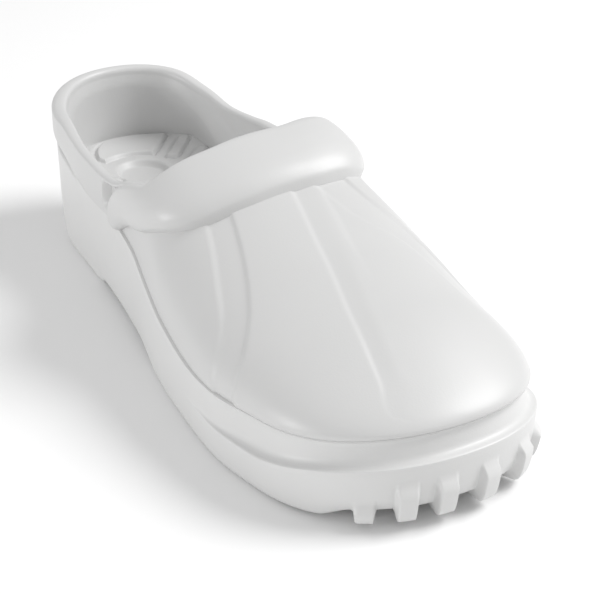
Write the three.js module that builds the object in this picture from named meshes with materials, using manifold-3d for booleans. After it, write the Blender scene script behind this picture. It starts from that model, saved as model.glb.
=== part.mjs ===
// Moulded foam clog, right shoe, standing empty on its sole.
// Millimetres. +X points to the toe, +Y to the medial side, +Z up.
// The origin is the centre of the bounding box at floor level.
import * as THREE from 'three';
import { mergeVertices } from 'three/addons/utils/BufferGeometryUtils.js';
import Module from 'manifold-3d';

const wasm = await Module();
wasm.setup();

// Driving sizes of the shoe
const LENGTH = 290;
const BALL_WIDTH = 111;
const HEEL_STACK = 30;
const HEEL_EDGE_HEIGHT = 60;
const INSTEP_HEIGHT = 81;
const TOE_SPRING = 3.5;
const ARCH_LIFT = 2.5;
const HEEL_ROUND = 40;
const TOE_ROUND = 45;
const TOE_DOME = 48;

// Walls and clearances
const FIT_GAP = 0.3;
const CUP_WALL = 5;
const SKIRT_WALL = 2.5;
const UPPER_WALL = 4;
const RIM_WALL = 7;
const UPPER_INSET = 1.2;
const RIM_PROUD = 1.2;
const EDGE_ROUND = 3;
const COVE_DEPTH = 3;

// Instep band
const BAND_PROUD = 7.5;
const BAND_END = 6;
const BAND_START = 0.012;
const GIRTH_SHARE = 1.6;

// Tread and toe lugs
const TREAD_DEPTH = 3.5;
const GROOVE_WIDTH = 5;
const GROOVE_PITCH = 13;
const GROOVE_MARGIN = 10;
const LUG_PITCH = 15.8;
const LUG_WIDTH = 7.6;
const LUG_PROUD = 3;
const LUG_RISE = 15.5;
const LUG_REACH = 24;

// Footbed
const FOOTBED = 5;
const FOOTBED_DISH = 5;
const FOOTBED_RUN = 18;

// Where the surfaces are sampled
const QUARTER_STEPS = 19;
const STRAND_STEPS = 22;
const VAMP_STEPS = 22;
const WALL_STEPS = 3;
const LIP_STEPS = 4;
const BAND_STEPS = 30;

// Places along the shoe, as shares of its length from the heel
const HEEL_BREAST = 0.262;
const BREAST_RUN = 0.014;
const ARCH_END = { from: 0.45, to: 0.55 };
const HEEL_TREAD = { from: 0.07, to: 0.22 };
const BALL_TREAD = { from: 0.58, to: 0.82 };
const SPRING_START = 0.76;
const TOE_STEP = { from: 0.925, to: 0.96 };
const TOE_LEDGE = { from: 0.68, to: 0.86 };
const RIM_FADE = { from: 0.04, to: 0.24 };
const DISH_FADE = { from: 0.3, to: 0.6 };
const DISH_RISE = { from: 0.03, to: 0.12 };
const COUNTER_FADE = { from: 0.2, to: 0.34 };
const QUARTER_END = 0.455;

// Shares of the way round the section where the collar turns across the instep
const LATERAL_SPLIT = 0.152;
const MEDIAL_SPLIT = 0.1645;

// Squareness of the rounded ends in plan, and how far the ledge's cove draws the upper in
const END_POWER = 2.15;
const COVE_SHARE = 0.25;
const DISH_DROP = 0.6;
const DISH_BACK = 0.2;

// Plan outline: half widths to either side of the long axis, as shares of the ball width
const OUTLINE = [
  { at: 0.0, lateral: 0.322, medial: 0.346 },
  { at: 0.15, lateral: 0.341, medial: 0.332 },
  { at: 0.3, lateral: 0.361, medial: 0.33 },
  { at: 0.45, lateral: 0.408, medial: 0.347 },
  { at: 0.6, lateral: 0.472, medial: 0.424 },
  { at: 0.75, lateral: 0.495, medial: 0.467 },
  { at: 0.88, lateral: 0.443, medial: 0.478 },
  { at: 1.0, lateral: 0.407, medial: 0.491 },
];

// Edge where the upper meets the sole, as a share of its height at the heel
const EDGE = [
  { at: 0.0, height: 1.0 },
  { at: 0.05, height: 0.958 },
  { at: 0.1, height: 0.88 },
  { at: 0.15, height: 0.825 },
  { at: 0.2, height: 0.74 },
  { at: 0.25, height: 0.685 },
  { at: 0.3, height: 0.665 },
  { at: 0.36, height: 0.687 },
  { at: 0.4, height: 0.708 },
  { at: 0.45, height: 0.692 },
  { at: 0.5, height: 0.633 },
  { at: 0.55, height: 0.583 },
  { at: 0.6, height: 0.525 },
  { at: 0.66, height: 0.472 },
  { at: 0.72, height: 0.453 },
  { at: 0.85, height: 0.482 },
  { at: 0.92, height: 0.517 },
  { at: 1.0, height: 0.583 },
];

// Board that the footbed lies on, as a share of the heel stack
const BOARD = [
  { at: 0.0, height: 1.0 },
  { at: 0.25, height: 0.98 },
  { at: 0.4, height: 0.87 },
  { at: 0.55, height: 0.66 },
  { at: 0.7, height: 0.54 },
  { at: 0.85, height: 0.57 },
  { at: 1.0, height: 0.68 },
];

// Crown of the last, carried on over the open heel, as a share of the instep height; lean moves the
// crown to the medial side, as a share of the ball width, and power squares the section's shoulders
const CROWN = [
  { at: 0.0, height: 1.667, lean: 0.0, power: 2.25 },
  { at: 0.2, height: 1.457, lean: 0.01, power: 2.3 },
  { at: 0.3, height: 1.27, lean: 0.02, power: 2.4 },
  { at: 0.4, height: 1.12, lean: 0.045, power: 2.6 },
  { at: 0.48, height: 1.06, lean: 0.075, power: 2.75 },
  { at: 0.6, height: 0.915, lean: 0.12, power: 2.4 },
  { at: 0.72, height: 0.79, lean: 0.11, power: 2.2 },
  { at: 0.85, height: 0.68, lean: 0.065, power: 1.97 },
  { at: 1.0, height: 0.585, lean: 0.02, power: 1.9 },
];

// Rim of the heel counter: how far round the section it lies, from the edge of the sole up
const RIM = [
  { at: 0.0, lateral: 0.021, medial: 0.021 },
  { at: 0.05, lateral: 0.025, medial: 0.025 },
  { at: 0.1, lateral: 0.034, medial: 0.03 },
  { at: 0.15, lateral: 0.044, medial: 0.039 },
  { at: 0.2, lateral: 0.051, medial: 0.057 },
  { at: 0.25, lateral: 0.0555, medial: 0.084 },
  { at: 0.3, lateral: 0.058, medial: 0.115 },
  { at: 0.345, lateral: 0.067, medial: 0.14 },
  { at: 0.4, lateral: 0.104, medial: 0.157 },
  { at: QUARTER_END, lateral: LATERAL_SPLIT, medial: MEDIAL_SPLIT },
];

// Front of the collar: place along the shoe for each share of the way round the section
const COLLAR = [
  { at: LATERAL_SPLIT, along: QUARTER_END },
  { at: 0.19, along: 0.486 },
  { at: 0.23, along: 0.498 },
  { at: 0.3, along: 0.508 },
  { at: 0.38, along: 0.516 },
  { at: 0.45, along: 0.518 },
  { at: 0.51, along: 0.514 },
  { at: 0.57, along: 0.506 },
  { at: 0.65, along: 0.493 },
  { at: 0.75, along: 0.476 },
  { at: 0.8, along: 0.467 },
  { at: 1 - MEDIAL_SPLIT, along: QUARTER_END },
];

// Instep band: tail behind the collar, front crease and thickness, round the section
const BAND = [
  { at: 0.0, tail: 0.385, front: 0.4, proud: 0.58 },
  { at: 0.018, tail: 0.374, front: 0.425, proud: 0.6 },
  { at: 0.04, tail: 0.369, front: 0.452, proud: 0.62 },
  { at: 0.07, tail: 0.371, front: 0.49, proud: 0.66 },
  { at: 0.085, tail: 0.386, front: 0.503, proud: 0.68 },
  { at: 0.11, tail: 0.414, front: 0.52, proud: 0.72 },
  { at: 0.152, tail: 0.46, front: 0.545, proud: 0.8 },
  { at: 0.19, tail: 0.489, front: 0.565, proud: 0.88 },
  { at: 0.24, tail: 0.501, front: 0.583, proud: 0.95 },
  { at: 0.3, tail: 0.51, front: 0.594, proud: 1.0 },
  { at: 0.4, tail: 0.519, front: 0.603, proud: 1.0 },
  { at: 0.5, tail: 0.517, front: 0.604, proud: 1.0 },
  { at: 0.57, tail: 0.507, front: 0.599, proud: 1.0 },
  { at: 0.66, tail: 0.492, front: 0.588, proud: 0.97 },
  { at: 0.76, tail: 0.474, front: 0.557, proud: 0.9 },
  { at: 0.835, tail: 0.452, front: 0.525, proud: 0.8 },
  { at: 0.88, tail: 0.405, front: 0.498, proud: 0.7 },
  { at: 0.93, tail: 0.348, front: 0.455, proud: 0.58 },
  { at: 1.0, tail: 0.315, front: 0.385, proud: 0.42 },
];

// Pad section of the band: across from the collar side to the front crease, and its thickness
const PAD = [
  { across: 0.0, thick: 0.0 },
  { across: -0.02, thick: 0.3 },
  { across: -0.02, thick: 0.58 },
  { across: 0.05, thick: 0.82 },
  { across: 0.18, thick: 0.97 },
  { across: 0.4, thick: 1.0 },
  { across: 0.62, thick: 0.95 },
  { across: 0.8, thick: 0.82 },
  { across: 0.92, thick: 0.6 },
  { across: 0.985, thick: 0.32 },
  { across: 1.0, thick: 0.0 },
];

// Side of the sole from the tread up: rise is the share of the way to the edge, round the share of
// the edge rounding, and cove the share of the cove depth that is cut above the toe ledge
const SOLE_SIDE = [
  { rise: 0.0, round: 3.2, cove: 0.0 },
  { rise: 0.0, round: 1.15, cove: 0.0 },
  { rise: 0.03, round: 0.62, cove: 0.0 },
  { rise: 0.09, round: 0.35, cove: -0.1 },
  { rise: 0.22, round: 0.12, cove: -0.25 },
  { rise: 0.4, round: 0.0, cove: -0.38 },
  { rise: 0.5, round: 0.0, cove: -0.42 },
  { rise: 0.54, round: 0.0, cove: -0.1 },
  { rise: 0.6, round: 0.0, cove: 0.45 },
  { rise: 0.72, round: 0.0, cove: 0.92 },
  { rise: 0.86, round: 0.0, cove: 1.0 },
  { rise: 0.95, round: 0.03, cove: 0.95 },
  { rise: 1.0, round: 0.12, cove: 0.8 },
];

// Top of the footbed from its edge inwards: inset as a share of its run, raised as a share of its dish
const DISH = [
  { inset: 0.0, raised: 1.0 },
  { inset: 0.12, raised: 0.92 },
  { inset: 0.4, raised: 0.5 },
  { inset: 0.7, raised: 0.15 },
  { inset: 1.0, raised: 0.0 },
];

// Toe lugs from the lateral to the medial side: place in pitches from the toe's tip, height share
const LUGS = [
  { place: -2.24, rise: 0.5 },
  { place: -1.36, rise: 1.0 },
  { place: -0.5, rise: 1.0 },
  { place: 0.55, rise: 1.0 },
  { place: 1.72, rise: 1.0 },
  { place: 2.76, rise: 0.85 },
];

function ramp(from, to, x) {
  const t = Math.min(Math.max((x - from) / (to - from), 0), 1);
  return t * t * (3 - 2 * t);
}

const fade = ({ from, to }, x) => ramp(from * LENGTH, to * LENGTH, x);

// Smooth monotone curve through one column of a table
function column(rows, key, at) {
  const last = rows.length - 1;
  const x = Math.min(Math.max(at, rows[0].at), rows[last].at);
  let i = 0;
  while (i < last - 1 && x > rows[i + 1].at) i += 1;
  const slope = (k) => (rows[k + 1][key] - rows[k][key]) / (rows[k + 1].at - rows[k].at);
  const tangent = (k) => {
    if (k === 0) return slope(0);
    if (k === last) return slope(last - 1);
    const before = slope(k - 1);
    const after = slope(k);
    if (before * after <= 0) return 0;
    const left = rows[k].at - rows[k - 1].at;
    const right = rows[k + 1].at - rows[k].at;
    const weightBefore = 2 * right + left;
    const weightAfter = right + 2 * left;
    return (weightBefore + weightAfter) / (weightBefore / before + weightAfter / after);
  };
  const run = rows[i + 1].at - rows[i].at;
  const t = (x - rows[i].at) / run;
  const start = (1 + 2 * t) * (1 - t) ** 2 * rows[i][key] + t * (1 - t) ** 2 * run * tangent(i);
  const end = t * t * (3 - 2 * t) * rows[i + 1][key] + t * t * (t - 1) * run * tangent(i + 1);
  return start + end;
}

// Stations run 0 at the heel, 0.5 at the toe and on to 1 back at the heel, close-set at both ends
const along = (s) => (LENGTH * (1 - Math.cos(2 * Math.PI * s))) / 2;
const stationAt = (x) => Math.acos(1 - (2 * x) / LENGTH) / (2 * Math.PI);

function endRound(distance, radius) {
  const t = Math.min(Math.max(1 - distance / radius, 0), 1);
  return (1 - t ** END_POWER) ** (1 / END_POWER);
}

function outlinePoint(s) {
  const turn = ((s % 1) + 1) % 1;
  const x = along(turn);
  const lateral = column(OUTLINE, 'lateral', x / LENGTH) * BALL_WIDTH;
  const medial = column(OUTLINE, 'medial', x / LENGTH) * BALL_WIDTH;
  const close = endRound(x, HEEL_ROUND) * endRound(LENGTH - x, TOE_ROUND);
  const side = turn < 0.5 ? -1 : 1;
  return [x, (medial - lateral) / 2 + (side * (medial + lateral) * close) / 2];
}

// Point of the plan outline moved outwards by grow
function plan(s, grow) {
  const step = 0.001;
  const [x, y] = outlinePoint(s);
  const [ax, ay] = outlinePoint(s - step);
  const [bx, by] = outlinePoint(s + step);
  const run = Math.hypot(bx - ax, by - ay);
  return [x + ((by - ay) / run) * grow, y - ((bx - ax) / run) * grow];
}

const edgeHeight = (x) => column(EDGE, 'height', x / LENGTH) * HEEL_EDGE_HEIGHT;
const boardHeight = (x) => column(BOARD, 'height', x / LENGTH) * HEEL_STACK;
const toeShare = (x) => fade(TOE_LEDGE, x);

// Underside: flat under heel and ball, lifted at the arch, sprung at the toe
function treadHeight(x) {
  const arch = fade({ from: HEEL_BREAST, to: HEEL_BREAST + BREAST_RUN }, x) * (1 - fade(ARCH_END, x));
  const sprung = Math.max((x / LENGTH - SPRING_START) / (1 - SPRING_START), 0);
  return ARCH_LIFT * arch + TOE_SPRING * sprung ** 2;
}

// How far the upper stands back from the sole's outline: proud of it round the heel
function upperInset(x) {
  const heel = 1 - fade(COUNTER_FADE, x);
  return UPPER_INSET * (1 - heel) - RIM_PROUD * heel + COVE_DEPTH * COVE_SHARE * toeShare(x);
}

// Point of the upper: station, share of the way round from the lateral to the medial edge, offset
function lastPoint(s, round, grow) {
  const x = along(s);
  const inset = grow - upperInset(x);
  const lateral = plan(s, inset);
  const medial = plan(1 - s, inset);
  const angle = Math.PI * round;
  const power = 2 / column(CROWN, 'power', x / LENGTH);
  const reach = Math.sign(Math.cos(angle)) * Math.abs(Math.cos(angle)) ** power;
  const rise = Math.abs(Math.sin(angle)) ** power;
  const dome = Math.min(Math.max(1 - (LENGTH - x) / TOE_DOME, 0), 1);
  const edge = edgeHeight(x);
  const crown = column(CROWN, 'height', x / LENGTH) * INSTEP_HEIGHT + grow;
  const close = Math.sqrt(1 - dome * dome);
  const lean = column(CROWN, 'lean', x / LENGTH) * BALL_WIDTH * close;
  const mix = (1 - reach) / 2;
  return [
    lateral[0] + (medial[0] - lateral[0]) * mix,
    lateral[1] + (medial[1] - lateral[1]) * mix + lean * rise ** 2,
    edge + (crown - edge) * close * rise,
  ];
}

// Mesh from quads between rows of points, turned right side out
class Shell {
  constructor() {
    this.points = [];
    this.faces = [];
  }

  row(points) {
    return points.map((p) => this.points.push(p) - 1);
  }

  strip(a, b) {
    for (let i = 0; i + 1 < a.length; i += 1) {
      this.faces.push([a[i], a[i + 1], b[i + 1]], [a[i], b[i + 1], b[i]]);
    }
  }

  loop(a, b) {
    this.strip([...a, a[0]], [...b, b[0]]);
  }

  // Closes a loop whose points mirror each other across the shoe
  ladder(loop, flip) {
    const count = loop.length;
    for (let i = 0; i < count / 2; i += 1) {
      const quad = [loop[i], loop[i + 1], loop[count - i - 1], loop[(count - i) % count]];
      if (flip) quad.reverse();
      this.faces.push([quad[0], quad[1], quad[2]], [quad[0], quad[2], quad[3]]);
    }
  }

  geometry() {
    const geometry = new THREE.BufferGeometry();
    geometry.setAttribute('position', new THREE.Float32BufferAttribute(this.points.flat(), 3));
    geometry.setIndex(this.faces.flat());
    const merged = mergeVertices(geometry, 1e-4);
    const old = merged.getIndex().array;
    const kept = [];
    for (let i = 0; i < old.length; i += 3) {
      const [a, b, c] = [old[i], old[i + 1], old[i + 2]];
      if (a !== b && b !== c && c !== a) kept.push(a, b, c);
    }
    if (signedVolume(merged.getAttribute('position'), kept) < 0) {
      for (let i = 0; i < kept.length; i += 3) [kept[i], kept[i + 1]] = [kept[i + 1], kept[i]];
    }
    merged.setIndex(kept);
    return merged;
  }
}

function signedVolume(position, index) {
  const [a, b, c] = [new THREE.Vector3(), new THREE.Vector3(), new THREE.Vector3()];
  let sum = 0;
  for (let i = 0; i < index.length; i += 3) {
    a.fromBufferAttribute(position, index[i]);
    b.fromBufferAttribute(position, index[i + 1]);
    c.fromBufferAttribute(position, index[i + 2]);
    sum += a.dot(b.cross(c));
  }
  return sum / 6;
}

function toManifold(geometry) {
  const vertProperties = new Float32Array(geometry.getAttribute('position').array);
  const triVerts = new Uint32Array(geometry.getIndex().array);
  return new wasm.Manifold(new wasm.Mesh({ numProp: 3, vertProperties, triVerts }));
}

function fromManifold(solid) {
  const mesh = solid.getMesh();
  const geometry = new THREE.BufferGeometry();
  geometry.setAttribute('position', new THREE.BufferAttribute(new Float32Array(mesh.vertProperties), 3));
  geometry.setIndex(new THREE.BufferAttribute(new Uint32Array(mesh.triVerts), 1));
  return geometry;
}

const spread = (from, to, steps) => {
  const step = (to - from) / steps;
  return Array.from({ length: steps + 1 }, (_, i) => from + step * i);
};
const SPLIT = stationAt(QUARTER_END * LENGTH);

// Stations of the heel quarter, with the heel breast's two edges put in exactly
function quarterStations() {
  const breast = [HEEL_BREAST, HEEL_BREAST + BREAST_RUN].map((share) => stationAt(share * LENGTH));
  const near = (0.25 * SPLIT) / QUARTER_STEPS;
  const places = spread(0, SPLIT, QUARTER_STEPS).filter((s) => breast.every((b) => Math.abs(s - b) > near));
  return [...places, ...breast].sort((first, second) => first - second);
}

// Stations of one side, shared by every piece so that their facets lie alongside
const sideStations = () => [...quarterStations(), ...spread(SPLIT, 0.5, STRAND_STEPS).slice(1)];

// Whole loop of stations, mirrored so that a ladder can close it
function loopStations() {
  const side = sideStations();
  return [...side, ...side.slice(1, -1).reverse().map((s) => 1 - s)];
}

const planLoop = (stations, grow, height) => stations.map((s) => {
  const x = along(s);
  return [...plan(s, grow(x)), height(x)];
});

function box(width, depth, height) {
  const geometry = new THREE.BoxGeometry(width, depth, height);
  geometry.deleteAttribute('normal');
  geometry.deleteAttribute('uv');
  return mergeVertices(geometry);
}

// Cross grooves of the tread, inside its plain border
function grooves({ from, to }) {
  const cuts = [];
  const count = Math.floor(((to - from) * LENGTH) / GROOVE_PITCH);
  for (let i = 0; i <= count; i += 1) {
    const x = from * LENGTH + i * GROOVE_PITCH;
    const left = plan(stationAt(x), -GROOVE_MARGIN)[1];
    const right = plan(1 - stationAt(x), -GROOVE_MARGIN)[1];
    const cut = box(GROOVE_WIDTH, right - left, 2 * TREAD_DEPTH);
    cut.translate(x, (left + right) / 2, 0);
    cuts.push(toManifold(cut));
  }
  return cuts;
}

// Station reached by walking the outline from the toe's tip, the medial way for a positive distance
function walkFromToe(distance) {
  const step = Math.sign(distance) * 0.0005;
  let s = 0.5;
  let left = Math.abs(distance);
  while (left > 0) {
    const [ax, ay] = plan(s, 0);
    const [bx, by] = plan(s + step, 0);
    left -= Math.hypot(bx - ax, by - ay);
    s += step;
  }
  return s;
}

// One toe lug: an upright rib on the side of the sole that runs in under the tread
function lug({ place, rise }) {
  const s = walkFromToe(place * LUG_PITCH);
  const [x, y] = plan(s, 0);
  const [ox, oy] = plan(s, 1);
  const foot = treadHeight(x);
  const head = foot + LUG_RISE * rise;
  const shape = new THREE.Shape([
    new THREE.Vector2(-LUG_REACH, foot),
    new THREE.Vector2(LUG_PROUD - EDGE_ROUND * 0.6, foot),
    new THREE.Vector2(LUG_PROUD, foot + EDGE_ROUND),
    new THREE.Vector2(LUG_PROUD, head - 1.4 * LUG_PROUD),
    new THREE.Vector2(-CUP_WALL / 2, head),
    new THREE.Vector2(-CUP_WALL / 2, foot + TREAD_DEPTH + EDGE_ROUND),
    new THREE.Vector2(-LUG_REACH, foot + TREAD_DEPTH + EDGE_ROUND),
  ]);
  const geometry = new THREE.ExtrudeGeometry(shape, { depth: LUG_WIDTH, bevelEnabled: false });
  geometry.deleteAttribute('normal');
  geometry.deleteAttribute('uv');
  geometry.translate(0, 0, -LUG_WIDTH / 2);
  geometry.rotateX(Math.PI / 2);
  geometry.rotateZ(Math.atan2(oy - y, ox - x));
  geometry.translate(x, y, 0);
  return toManifold(mergeVertices(geometry));
}

// Sole: thick foam cup with the footbed's board as its floor
function soleGeometry() {
  const shell = new Shell();
  const stations = loopStations();
  const foot = (x) => treadHeight(x) + TREAD_DEPTH * fade(TOE_STEP, x);
  const rows = SOLE_SIDE.map((row) => {
    const grow = (x) => -EDGE_ROUND * row.round - COVE_DEPTH * row.cove * toeShare(x);
    const height = (x) => {
      const base = foot(x);
      return base + (edgeHeight(x) - FIT_GAP - base) * row.rise;
    };
    return shell.row(planLoop(stations, grow, height));
  });
  rows.push(shell.row(planLoop(stations, () => -CUP_WALL, (x) => edgeHeight(x) - FIT_GAP)));
  rows.push(shell.row(planLoop(stations, () => -CUP_WALL, boardHeight)));
  for (let i = 0; i + 1 < rows.length; i += 1) shell.loop(rows[i], rows[i + 1]);
  shell.ladder(rows[0], true);
  shell.ladder(rows[rows.length - 1], false);
  let solid = toManifold(shell.geometry());
  for (const cut of [...grooves(HEEL_TREAD), ...grooves(BALL_TREAD)]) solid = solid.subtract(cut);
  for (const row of LUGS) solid = solid.add(lug(row));
  return fromManifold(solid);
}

// Wall thickness of the upper: a thick rim round the heel, thinner over the vamp
const wallAt = (x) => RIM_WALL + (UPPER_WALL - RIM_WALL) * fade(RIM_FADE, x);

// Grid of the upper, as places on the last: heel quarters up to the split, then the vamp
function upperGrid() {
  const quarter = quarterStations();
  const low = spread(0, LATERAL_SPLIT, WALL_STEPS);
  const front = spread(LATERAL_SPLIT, 1 - MEDIAL_SPLIT, VAMP_STEPS);
  const high = spread(1 - MEDIAL_SPLIT, 1, WALL_STEPS);
  const shares = [...low, ...front.slice(1, -1), ...high];
  const strand = (round) => {
    const open = round > LATERAL_SPLIT && round < 1 - MEDIAL_SPLIT;
    const start = open ? stationAt(column(COLLAR, 'along', round) * LENGTH) : SPLIT;
    return spread(start, 0.5, STRAND_STEPS).map((s) => ({ s, round }));
  };
  const rimShare = (side, s) => column(RIM, side, along(s) / LENGTH);
  const level = (side, k) => quarter.map((s) => {
    const share = (rimShare(side, s) * k) / WALL_STEPS;
    return { s, round: side === 'medial' ? 1 - share : share };
  });
  return {
    vamp: shares.map(strand),
    lateral: spread(0, WALL_STEPS, WALL_STEPS).map((k) => level('lateral', k)),
    medial: spread(0, WALL_STEPS, WALL_STEPS).map((k) => level('medial', k)),
  };
}

// The two open edges of the grid, each as one loop of places starting at the heel
function upperLoops(grid) {
  const back = (row) => row.slice(0, -1).reverse();
  const starts = grid.vamp.slice(WALL_STEPS, grid.vamp.length - WALL_STEPS).map((strand) => strand[0]);
  const collar = [
    ...grid.lateral[WALL_STEPS],
    ...starts.slice(1, -1),
    ...[...grid.medial[WALL_STEPS]].reverse().slice(0, -1),
  ];
  const lateralEdge = [...grid.lateral[0], ...grid.vamp[0].slice(1)];
  const medialEdge = [...grid.medial[0], ...grid.vamp[grid.vamp.length - 1].slice(1)];
  return { collar, edge: [...lateralEdge, ...back(medialEdge).slice(0, -1)] };
}

// Rounded lip at the collar, turned in from the outer to the inner face of the wall
function lipRows(collar) {
  const place = ({ s, round }, share) => new THREE.Vector3(...lastPoint(s, round, -wallAt(along(s)) * share));
  const count = collar.length;
  const rows = [];
  for (let j = 1; j < LIP_STEPS; j += 1) {
    const turn = (Math.PI * j) / LIP_STEPS;
    rows.push(collar.map((spot, i) => {
      const before = place(collar[(i + count - 1) % count], 0.5);
      const after = place(collar[(i + 1) % count], 0.5);
      const through = place(spot, 1).sub(place(spot, 0)).normalize();
      const out = new THREE.Vector3().crossVectors(after.sub(before), through).normalize();
      const radius = wallAt(along(spot.s)) / 2;
      return place(spot, (1 - Math.cos(turn)) / 2).addScaledVector(out, radius * Math.sin(turn)).toArray();
    }));
  }
  return rows;
}

// Upper: one hollow wall, open at the collar and underneath, with a skirt inside the sole's cup
function upperGeometry() {
  const shell = new Shell();
  const grid = upperGrid();
  const loops = upperLoops(grid);
  const onWall = (depth) => ({ s, round }) => lastPoint(s, round, depth === 0 ? 0 : -wallAt(along(s)));
  for (const depth of [0, 1]) {
    for (const sheet of [grid.vamp, grid.lateral, [...grid.medial].reverse()]) {
      const rows = sheet.map((line) => shell.row(line.map(onWall(depth))));
      for (let i = 0; i + 1 < rows.length; i += 1) {
        if (depth === 0) shell.strip(rows[i], rows[i + 1]);
        else shell.strip(rows[i + 1], rows[i]);
      }
    }
  }
  const lip = [loops.collar.map(onWall(0)), ...lipRows(loops.collar), loops.collar.map(onWall(1))];
  const lipIds = lip.map((row) => shell.row(row));
  for (let i = 0; i + 1 < lipIds.length; i += 1) shell.loop(lipIds[i], lipIds[i + 1]);
  const skirtOut = -CUP_WALL - FIT_GAP;
  const skirtIn = skirtOut - SKIRT_WALL;
  const hang = (grow, height) => loops.edge.map(({ s, round }) => {
    const x = along(s);
    return [...plan(round < 0.5 ? s : 1 - s, grow), height(x)];
  });
  const lowered = (x) => boardHeight(x) + FIT_GAP;
  const skirt = [
    loops.edge.map(onWall(0)),
    hang(skirtOut, edgeHeight),
    hang(skirtOut, lowered),
    hang(skirtIn, lowered),
    hang(skirtIn, (x) => edgeHeight(x) - SKIRT_WALL),
    loops.edge.map(onWall(1)),
  ].map((row) => shell.row(row));
  for (let i = 0; i + 1 < skirt.length; i += 1) shell.loop(skirt[i + 1], skirt[i]);
  return shell.geometry();
}

// Instep band: a padded roll laid over the upper, its section swept round the instep
function bandGeometry() {
  const shell = new Shell();
  const rings = [];
  for (let i = 0; i <= BAND_STEPS; i += 1) {
    const round = BAND_START + ((1 - 2 * BAND_START) * i) / BAND_STEPS;
    const tail = column(BAND, 'tail', round) * LENGTH;
    const front = column(BAND, 'front', round) * LENGTH;
    const girth = GIRTH_SHARE * BALL_WIDTH;
    const ends = endRound(round * girth, BAND_END) * endRound((1 - round) * girth, BAND_END);
    const proud = column(BAND, 'proud', round) * BAND_PROUD * ends;
    const point = (across, thick) => {
      const s = stationAt(tail + (front - tail) * across);
      return lastPoint(s, round, FIT_GAP + proud * thick);
    };
    const outer = PAD.map((row) => point(row.across, row.thick));
    const inner = PAD.slice(1, -1).map((row) => point(Math.max(row.across, 0.01), 0)).reverse();
    rings.push(shell.row([...outer, ...inner]));
  }
  for (let i = 0; i + 1 < rings.length; i += 1) shell.loop(rings[i], rings[i + 1]);
  shell.ladder(rings[0], true);
  shell.ladder(rings[rings.length - 1], false);
  return shell.geometry();
}

// Footbed: a loose board-shaped pad, dished at the heel, its rim raised inside the skirt
function insoleGeometry() {
  const shell = new Shell();
  const stations = loopStations();
  const edge = -CUP_WALL - SKIRT_WALL - 2 * FIT_GAP;
  const back = (x) => DISH_BACK + (1 - DISH_BACK) * fade(DISH_RISE, x);
  const rim = (x) => FOOTBED_DISH * (1 - DISH_DROP * fade(DISH_FADE, x)) * back(x);
  const base = (x) => boardHeight(x) + FIT_GAP;
  const rows = [shell.row(planLoop(stations, () => edge, base))];
  for (const row of DISH) {
    const grow = () => edge - row.inset * FOOTBED_RUN;
    rows.push(shell.row(planLoop(stations, grow, (x) => base(x) + FOOTBED + rim(x) * row.raised)));
  }
  for (let i = 0; i + 1 < rows.length; i += 1) shell.loop(rows[i], rows[i + 1]);
  shell.ladder(rows[0], true);
  shell.ladder(rows[rows.length - 1], false);
  return shell.geometry();
}

function piece(name, geometry, color, roughness) {
  const material = new THREE.MeshStandardMaterial({ color, roughness, metalness: 0 });
  const mesh = new THREE.Mesh(geometry, material);
  mesh.name = name;
  return mesh;
}

// Shoe: the pieces are modelled from the heel's back, then centred over the origin
const shoe = new THREE.Group();
shoe.add(piece('sole', soleGeometry(), 0xf1f1f0, 0.5));
shoe.add(piece('upper', upperGeometry(), 0xf6f6f5, 0.42));
shoe.add(piece('instep_band', bandGeometry(), 0xf7f7f6, 0.42));
shoe.add(piece('insole', insoleGeometry(), 0xeeeeed, 0.55));
const bounds = new THREE.Box3().setFromObject(shoe);
shoe.position.set(-(bounds.min.x + bounds.max.x) / 2, -(bounds.min.y + bounds.max.y) / 2, -bounds.min.z);

export default shoe;
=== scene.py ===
"""Moulded foam clog, right shoe: fine meshes, materials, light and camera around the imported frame.

The shoe's own sizes are in millimetres from the back of the heel, +x to the toe, +y to the medial side.
"""

import math

import bmesh
import bpy
import numpy as np
from mathutils import Matrix, Vector


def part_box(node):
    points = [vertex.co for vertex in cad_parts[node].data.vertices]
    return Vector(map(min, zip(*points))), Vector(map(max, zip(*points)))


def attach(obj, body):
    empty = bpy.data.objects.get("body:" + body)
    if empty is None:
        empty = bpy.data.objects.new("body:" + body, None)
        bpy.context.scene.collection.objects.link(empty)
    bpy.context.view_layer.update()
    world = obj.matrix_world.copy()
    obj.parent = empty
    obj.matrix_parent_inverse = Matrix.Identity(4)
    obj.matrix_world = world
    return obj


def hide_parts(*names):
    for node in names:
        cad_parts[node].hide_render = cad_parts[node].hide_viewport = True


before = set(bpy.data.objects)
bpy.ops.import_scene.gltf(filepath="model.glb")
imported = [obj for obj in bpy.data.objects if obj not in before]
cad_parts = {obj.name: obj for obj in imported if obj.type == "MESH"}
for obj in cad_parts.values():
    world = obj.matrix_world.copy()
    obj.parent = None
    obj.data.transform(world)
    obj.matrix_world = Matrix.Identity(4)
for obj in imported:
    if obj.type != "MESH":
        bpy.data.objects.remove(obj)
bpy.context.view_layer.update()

MM = 0.001

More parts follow.
